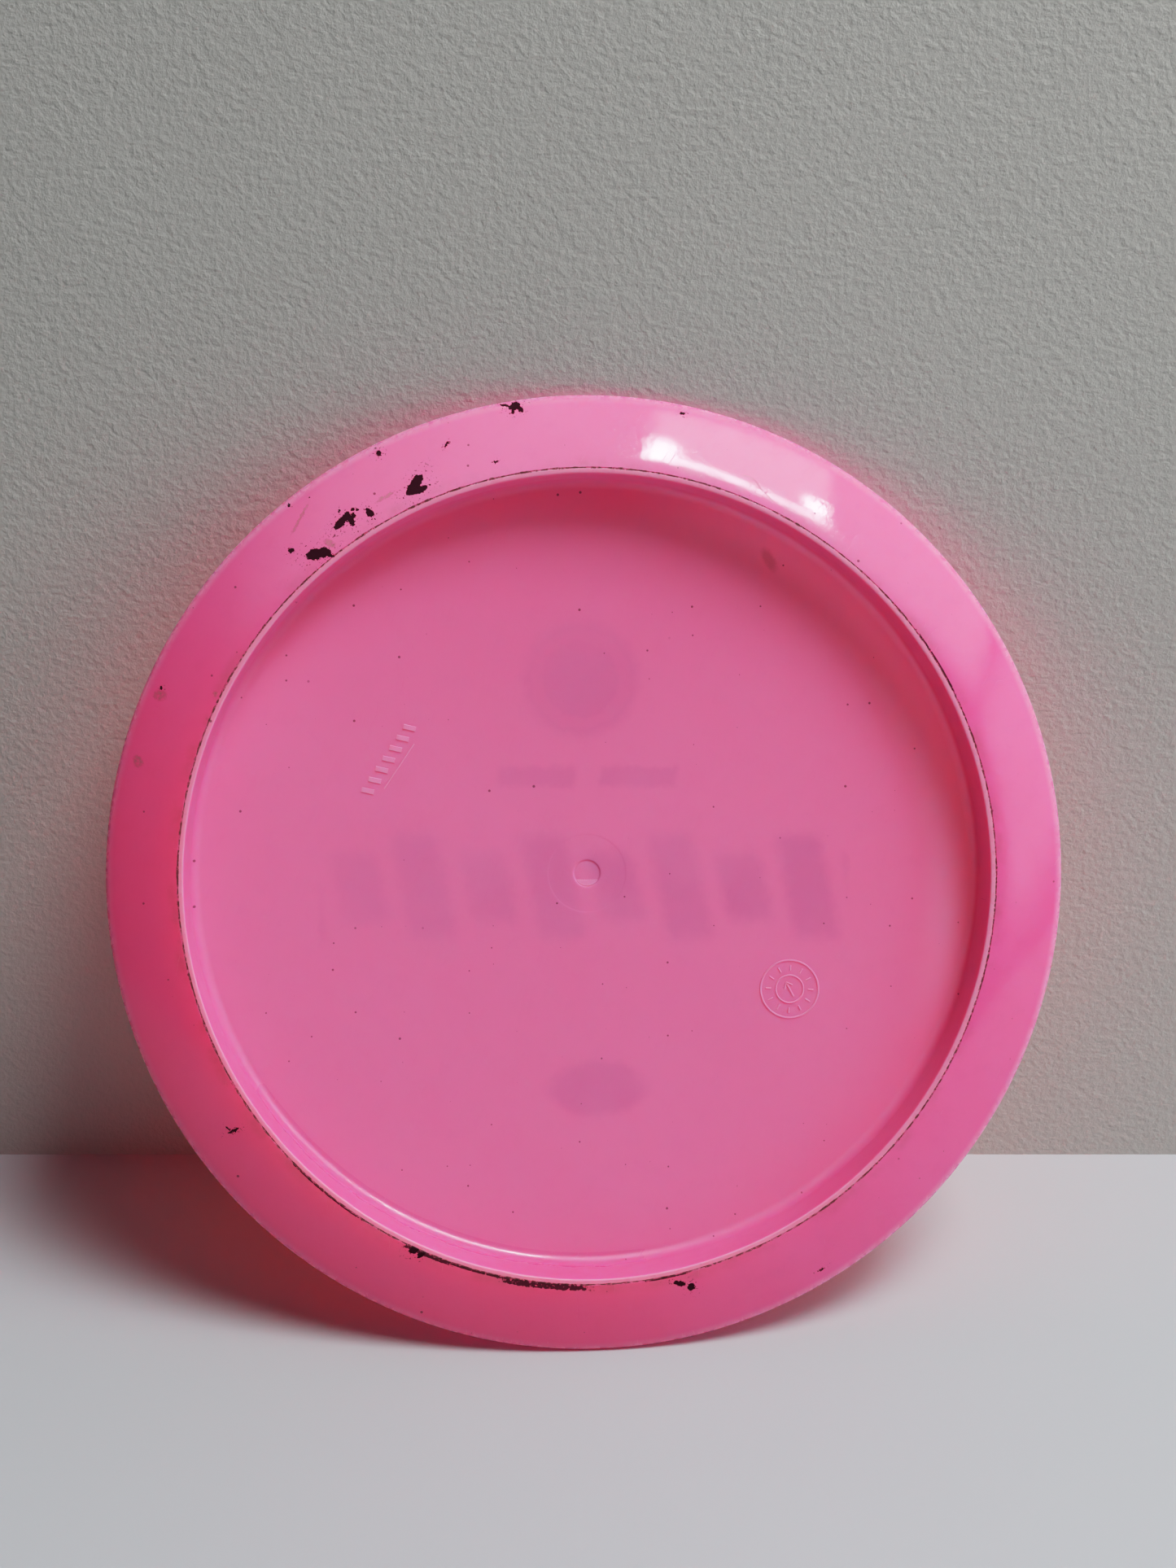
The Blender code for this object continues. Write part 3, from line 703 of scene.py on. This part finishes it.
    height = g.m("ADD", height, g.m("MULTIPLY", swirl, g.m("MULTIPLY", plate, 0.0015)))
    height = g.m("ADD", height, g.m("MULTIPLY", scratch, -0.01))
    bump = g.node("ShaderNodeBump", {"Strength": 1.0, "Distance": 0.001, "Height": height})

    bsdf = g.node("ShaderNodeBsdfPrincipled", {
        "Base Color": base, "Roughness": rough, "IOR": 1.49, "Normal": bump.outputs[0],
        "Subsurface Radius": SSS_RADIUS, "Subsurface Scale": SSS_SCALE,
        "Specular IOR Level": g.m("SUBTRACT", 0.5, g.m("MULTIPLY", dark, 0.47)),
        "Subsurface Weight": g.m("MULTIPLY", SSS_WEIGHT, g.m("SUBTRACT", 1.0, g.m("MAXIMUM", dark, g.m("MULTIPLY", film, 0.6))))})
    # Bounced light sees a thin translucent shell instead of the random walk, so that the red
    # light that comes through the disc reaches its hollow, the wall and the table.
    thick, thin = g.step(r, 82.5, 85.5), g.step(r, 90.0, 99.0)
    thick = g.m("MULTIPLY", thick, g.m("SUBTRACT", 1.0, g.m("MULTIPLY", towards(172.0, -0.1, 0.95), 0.8)))
    back = g.node("ShaderNodeBsdfDiffuse", {"Color": g.mix(thin, g.mix(thick, THROUGH_BACK, THICK_BACK), EDGE_BACK)})
    on = g.node("ShaderNodeBsdfTranslucent", {"Color": g.mix(thin, g.mix(thick, THROUGH_ON, THICK_ON), EDGE_ON)})
    shell = g.node("ShaderNodeAddShader")
    g.put(shell.inputs[0], back.outputs[0])
    g.put(shell.inputs[1], on.outputs[0])
    choose = g.node("ShaderNodeMixShader")
    g.put(choose.inputs[0], g.node("ShaderNodeLightPath").outputs["Is Diffuse Ray"])
    g.put(choose.inputs[1], bsdf.outputs[0])
    g.put(choose.inputs[2], shell.outputs[0])
    return g.finish(choose.outputs[0])


def foil_material(name, tint_a, tint_b):
    """Hot-stamped metallised foil: dark mirror film that picks up the plastic's orange peel."""
    g = Graph(name)
    coord = g.node("ShaderNodeTexCoord")
    p = g.vm("SCALE", coord.outputs["Object"], scale=1000.0)
    slow = g.noise(p, 0.09, 3.0, 0.6)
    mid = g.noise(p, 0.8, 4.0, 0.6)
    fine = g.noise(p, 6.0, 3.0, 0.6)
    tint = g.mix(g.step(slow, 0.3, 0.7), tint_a, tint_b)
    worn = g.m("MULTIPLY", g.step(mid, 0.60, 0.74), g.step(fine, 0.45, 0.62))
    tint = g.mix(g.m("MULTIPLY", worn, 0.55), tint, (0.52, 0.16, 0.30))
    rough = g.m("ADD", 0.20, g.m("ADD", g.m("MULTIPLY", mid, 0.14), g.m("MULTIPLY", worn, 0.30)))
    metal = g.m("SUBTRACT", 0.92, g.m("MULTIPLY", worn, 0.6))
    height = g.m("ADD", g.m("MULTIPLY", g.noise(p, 0.9, 3.0, 0.55), 0.012), g.m("MULTIPLY", fine, 0.0025))
    bump = g.node("ShaderNodeBump", {"Strength": 1.0, "Distance": 0.001, "Height": height})
    bsdf = g.node("ShaderNodeBsdfPrincipled", {"Base Color": tint, "Roughness": rough, "Metallic": metal,
                                               "Normal": bump.outputs[0], "Coat Weight": 0.25, "Coat Roughness": 0.1})
    return g.finish(bsdf.outputs[0])


def stage_material(name, colour, rough, bump_size, bump_depth, mottle, ends=None):
    """Plain painted surface. ends is where it starts and stops fading out, in mm from the disc."""
    g = Graph(name)
    coord = g.node("ShaderNodeTexCoord")
    p = g.vm("SCALE", coord.outputs["Object"], scale=1000.0)
    slow = g.noise(p, 0.006, 3.0, 0.5)
    tex = g.noise(p, bump_size, 5.0, 0.6)
    shade = g.mix(g.step(slow, 0.3, 0.7), colour, tuple(c * (1 - mottle) for c in colour))
    bump = g.node("ShaderNodeBump", {"Strength": 1.0, "Distance": 0.001, "Height": g.m("MULTIPLY", tex, bump_depth)})
    bsdf = g.node("ShaderNodeBsdfPrincipled", {"Base Color": shade, "Roughness": rough, "Normal": bump.outputs[0],
                                               "Specular IOR Level": 0.3})
    if ends is None:
        return g.finish(bsdf.outputs[0])
    out_of_sight = g.node("ShaderNodeMixShader")
    g.put(out_of_sight.inputs[0], g.step(g.vm("LENGTH", p), ends[0], ends[1]))
    g.put(out_of_sight.inputs[1], bsdf.outputs[0])
    g.put(out_of_sight.inputs[2], g.node("ShaderNodeBsdfTransparent").outputs[0])
    return g.finish(out_of_sight.outputs[0])


# ---------------------------------------------------------------------------
# The object
# ---------------------------------------------------------------------------
plastic = disc_plastic()
foils = {
    "foil_dark": foil_material("violet_foil", (0.10, 0.07, 0.20), (0.16, 0.09, 0.27)),
    "foil_teal": foil_material("teal_foil", (0.04, 0.19, 0.20), (0.07, 0.28, 0.25)),
}
body = make_body()
body.data.materials.clear()
body.data.materials.append(plastic)
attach(body, "root")
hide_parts("disc_body")
for piece, node, slot in make_foil():
    piece.data.materials.append(foils[slot])
    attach(piece, "root")
    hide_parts(node)

# ---------------------------------------------------------------------------
# Camera. The disc leans on a wall with its hollow side to the camera, so the camera is on
# the underside. Everything is given in the camera's own axes: x right, y down, z forward.
# ---------------------------------------------------------------------------
FOCAL = 2780.0                                   # for an image 1445 x 1927
DISC_AT = Vector((0.71, 20.84, 492.1))           # disc origin, mm
AXIS = Vector((-0.059, -0.050, 1.0)).normalized()  # disc's +Z, away from the camera
PITCH = math.radians(24.0)                       # camera looks down by this much

down = Vector((0.0, -1.0, 0.0))
disc_y = (down - AXIS * down.dot(AXIS)).normalized()
disc_x = disc_y.cross(AXIS)


def to_disc(v):
    v = Vector(v)
    return Vector((v.dot(disc_x), v.dot(disc_y), v.dot(AXIS)))


cam_at = to_disc(-DISC_AT) * MM
cam_right, cam_up, cam_back = to_disc((1, 0, 0)), to_disc((0, -1, 0)), to_disc((0, 0, -1))
cam_data = bpy.data.cameras.new("camera")
cam = bpy.data.objects.new("camera", cam_data)
bpy.context.scene.collection.objects.link(cam)
cam_data.sensor_width = 36.0
cam_data.sensor_fit = "AUTO"
cam_data.lens = FOCAL * 36.0 / 1927.0
cam_data.clip_start, cam_data.clip_end = 0.01, 50.0
turn = Matrix((cam_right, cam_up, cam_back)).transposed()
cam.rotation_mode = "QUATERNION"
cam.rotation_quaternion = turn.to_quaternion()
cam.location = cam_at
bpy.context.scene.camera = cam

# ---------------------------------------------------------------------------
# Stage. Under the hollow-side view: a plain pale table and wall that the disc leans on.
# Seen from above, the disc lies on a plain pale floor instead. Each set shows only when
# the camera is on its side of the disc.
# ---------------------------------------------------------------------------
up = to_disc((0.0, -math.cos(PITCH), -math.sin(PITCH)))
out = to_disc((0.0, math.sin(PITCH), -math.cos(PITCH)))
side = to_disc((1, 0, 0))
co = np.array([v.co[:] for v in body.data.vertices])
table_at = float((co @ np.array(up)).min()) - 0.0001
wall_at = float((co @ np.array(out)).min()) - 0.0001


def shown_from(ob, above):
    """Shows ob only to a camera above (or below) the disc's rest plane."""
    for channel in ("hide_render", "hide_viewport"):
        d = ob.driver_add(channel).driver
        d.type = "SCRIPTED"
        v = d.variables.new()
        v.name = "h"
        v.type = "SINGLE_PROP"
        v.targets[0].id = cam
        v.targets[0].data_path = "location[2]"
        d.expression = "h < 0" if above else "h > 0"
    return ob


def plane(name, centre, u, v, half_u, half_v, mat):
    pts = [centre + u * a * half_u + v * b * half_v for a, b in ((-1, -1), (1, -1), (1, 1), (-1, 1))]
    me = bpy.data.meshes.new(name)
    me.from_pydata([q[:] for q in pts], [], [(0, 1, 2, 3)])
    me.materials.append(mat)
    ob = bpy.data.objects.new(name, me)
    bpy.context.scene.collection.objects.link(ob)
    return ob


table_mat = stage_material("table_top", (0.432, 0.458, 0.482), 0.45, 1.5, 0.004, 0.02)
wall_mat = stage_material("wall_paint", (0.440, 0.433, 0.402), 0.75, 0.60, 0.42, 0.04)
floor_mat = stage_material("floor", (0.72, 0.71, 0.70), 0.6, 1.5, 0.004, 0.02, (500.0, 2000.0))
corner = up * table_at + out * wall_at
shown_from(plane("leaning_table", corner + out * 1.2, side, out, 2.2, 1.2, table_mat), False)
shown_from(plane("leaning_wall", corner + up * 1.2, side, up, 2.2, 1.2, wall_mat), False)
shown_from(plane("lying_floor", Vector((0, 0, -0.0001)), Vector((1, 0, 0)), Vector((0, 1, 0)), 4.0, 4.0, floor_mat), True)


def area(name, at, aim, size_x, size_y, radiance, colour, above, lengthwise=None):
    """Area light whose surface glows at the given radiance, so its reflection has that brightness."""
    data = bpy.data.lights.new(name, "AREA")
    data.shape = "RECTANGLE"
    data.size, data.size_y = size_x, size_y
    data.energy = radiance * math.pi * size_x * size_y
    data.color = colour
    ob = bpy.data.objects.new(name, data)
    bpy.context.scene.collection.objects.link(ob)
    back = (Vector(at) - Vector(aim)).normalized()
    x_axis = Vector(lengthwise) if lengthwise is not None else Vector((0, 0, 1)).cross(back)
    x_axis = (x_axis - back * x_axis.dot(back)).normalized()
    y_axis = back.cross(x_axis)
    ob.rotation_mode = "QUATERNION"
    ob.rotation_quaternion = Matrix((x_axis, y_axis, back)).transposed().to_quaternion()
    ob.location = at
    return shown_from(ob, above)


# Overhead light for the leaning view. What lights the surfaces and what they mirror are set
# apart: plain panels that don't show in reflections, and cards that only show in reflections.
REACH = 1.5


def ceiling_light(name, x0, x1, y0, y1, radiance, colour=(1.0, 1.0, 1.0)):
    at = (side * ((x0 + x1) / 2) + out * ((y0 + y1) / 2) + up) * REACH
    return area(name, at, at - up, (x1 - x0) * REACH, (y1 - y0) * REACH, radiance, colour, False, lengthwise=side)


def flank_light(name, azimuth, elevation, wide, tall, radiance, colour=(1.0, 1.0, 1.0)):
    """A big soft panel beside the leaning disc, by direction and angular size in degrees."""
    az, el = math.radians(azimuth), math.radians(elevation)
    ray = up * math.sin(el) + (out * math.cos(az) + side * math.sin(az)) * math.cos(el)
    return area(name, ray * REACH, (0, 0, 0), 2 * REACH * math.tan(math.radians(wide / 2)),
                2 * REACH * math.tan(math.radians(tall / 2)), radiance, colour, False, lengthwise=up.cross(ray))


for soft in (ceiling_light("panel", 0.20, 0.61, 0.07, 0.55, 19.3),
             flank_light("flank_low", 70, 30, 28, 44, 2.3),
             flank_light("flank_high", 75, 60, 26, 22, 4.6),
             flank_light("front", 3, 8, 30, 18, 0.55)):
    soft.visible_glossy = False


def card(name, centre, u, v, half_u, half_v, pattern):
    """A card seen only in reflections. pattern(g, a, b) gives its brightness at a, b metres
    from the disc's centre along u and v."""
    g = Graph(name)
    coord = g.node("ShaderNodeTexCoord").outputs["Object"]
    a = g.vm("DOT_PRODUCT", coord, tuple(u))
    b = g.vm("DOT_PRODUCT", coord, tuple(v))
    em = g.node("ShaderNodeEmission", {"Color": CARD_WHITE, "Strength": pattern(g, a, b)})
    ob = plane(name, centre, u, v, half_u, half_v, g.finish(em.outputs[0]))
    ob.visible_camera = ob.visible_diffuse = ob.visible_shadow = False
    return shown_from(ob, False)


CARD_WHITE = (0.90, 0.95, 1.10)
FLANK_SHEEN = 2.0


def overhead(g, a, b):
    """A dim ceiling with one fixture in it: a panel, a brighter band in it and two hot ends."""
    x, y = g.m("DIVIDE", a, REACH), g.m("DIVIDE", b, REACH)
    sheet = g.m("MULTIPLY", g.step(x, -1.15, 0.05), g.step(x, 2.1, 1.5))
    sheet = g.m("MULTIPLY", g.m("MULTIPLY", sheet, g.step(y, 0.0, 0.10)), g.step(y, 1.5, 0.75))
    sheet = g.m("MULTIPLY", sheet, SHEET)
    box = g.m("MULTIPLY", g.step(x, 0.218, 0.234), g.step(x, 0.690, 0.672))
    panel = g.m("MULTIPLY", g.m("MULTIPLY", box, g.step(y, 0.06, 0.24)), g.step(y, 0.66, 0.56))
    # The band bows towards the room in its middle.
    bow = g.m("ADD", 0.53, g.m("MULTIPLY", g.step(x, 0.25, 0.56), 0.105))
    off = g.m("SUBTRACT", y, bow)
    band = g.m("MULTIPLY", g.m("MULTIPLY", box, g.step(off, -0.065, -0.005)), g.step(off, 0.085, 0.015))
    total = g.m("ADD", sheet, g.m("ADD", g.m("MULTIPLY", panel, PANEL), g.m("MULTIPLY", band, BAND)))
    for cx, cy, hx, hy, level in HOT:
        d = g.vm("LENGTH", g.vec(g.m("DIVIDE", g.m("SUBTRACT", x, cx), hx), g.m("DIVIDE", g.m("SUBTRACT", y, cy), hy), 0.0))
        total = g.m("ADD", total, g.m("MULTIPLY", g.m("MULTIPLY", box, g.step(d, 1.0, 0.25)), level))
    return total


SHEET, PANEL, BAND = 3.2, 4.0, 22.0
HOT = ((0.250, 0.460, 0.055, 0.13, 46.0), (0.650, 0.520, 0.055, 0.095, 50.0))
card("ceiling_card", (up + side * 0.5 + out * 0.72) * REACH, side, out, 1.62 * REACH, 0.80 * REACH, overhead)
card("right_card", side * 2.6 + out * 1.3 + up * 0.75, out, up, 1.3, 0.80,
     lambda g, a, b: g.m("MULTIPLY", g.m("MULTIPLY", g.step(a, 2.6, 1.6), g.step(a, 0.0, 0.5)),
                         g.m("MULTIPLY", g.step(b, -0.05, 0.5, 0.25, FLANK_SHEEN), g.step(b, 1.55, 1.25))))

# Soft studio light for the views from above.
area("soft_key", (-0.55, -0.75, 1.15), (0, 0, 0), 0.7, 0.7, 10.0, (1.0, 0.98, 0.96), True)
area("soft_fill", (1.1, -0.5, 0.8), (0, 0, 0), 0.9, 0.9, 2.0, (0.96, 0.98, 1.0), True)
area("soft_back", (0.2, 1.2, 0.9), (0, 0, 0), 1.0, 0.5, 2.6, (1.0, 1.0, 1.0), True)

world = bpy.data.worlds.new("soft_world")
bpy.context.scene.world = world
world.use_nodes = True
world.node_tree.nodes["Background"].inputs[0].default_value = (0.94, 0.95, 1.0, 1.0)
glow = world.node_tree.nodes["Background"].inputs[1]
glow.default_value = 0.03
dim = glow.driver_add("default_value").driver
dim.type = "SCRIPTED"
h = dim.variables.new()
h.name = "h"
h.type = "SINGLE_PROP"
h.targets[0].id = cam
h.targets[0].data_path = "location[2]"
dim.expression = "0.005 if h < 0 else 0.38"
# The backdrop behind the floor is paler than the light it gives.
wt = world.node_tree
paler = wt.nodes.new("ShaderNodeBackground")
paler.inputs[0].default_value = (0.97, 0.98, 1.0, 1.0)
paler.inputs[1].default_value = 0.80
pick = wt.nodes.new("ShaderNodeMixShader")
wt.links.new(wt.nodes.new("ShaderNodeLightPath").outputs["Is Camera Ray"], pick.inputs[0])
wt.links.new(wt.nodes["Background"].outputs[0], pick.inputs[1])
wt.links.new(paler.outputs[0], pick.inputs[2])
wt.links.new(pick.outputs[0], wt.nodes["World Output"].inputs["Surface"])
# Plain display transform with a soft shoulder, so that bright pink doesn't clip.
look = bpy.context.scene.view_settings
look.view_transform = "Standard"
look.use_curve_mapping = True
tone = look.curve_mapping
tone.white_level = (2.5, 2.5, 2.5)
curve = tone.curves[3]
for i, (x, y) in enumerate(((0.0, 0.0), (0.008, 0.0125), (0.02, 0.036), (0.04, 0.083), (0.08, 0.190), (0.12, 0.300),
                            (0.20, 0.490), (0.32, 0.675), (0.44, 0.800), (0.64, 0.925), (1.0, 1.0))):
    if i == 0:
        curve.points[0].location = (x, y)
    elif i == 10:
        curve.points[-1].location = (x, y)
    else:
        curve.points.new(x, y)
tone.update()
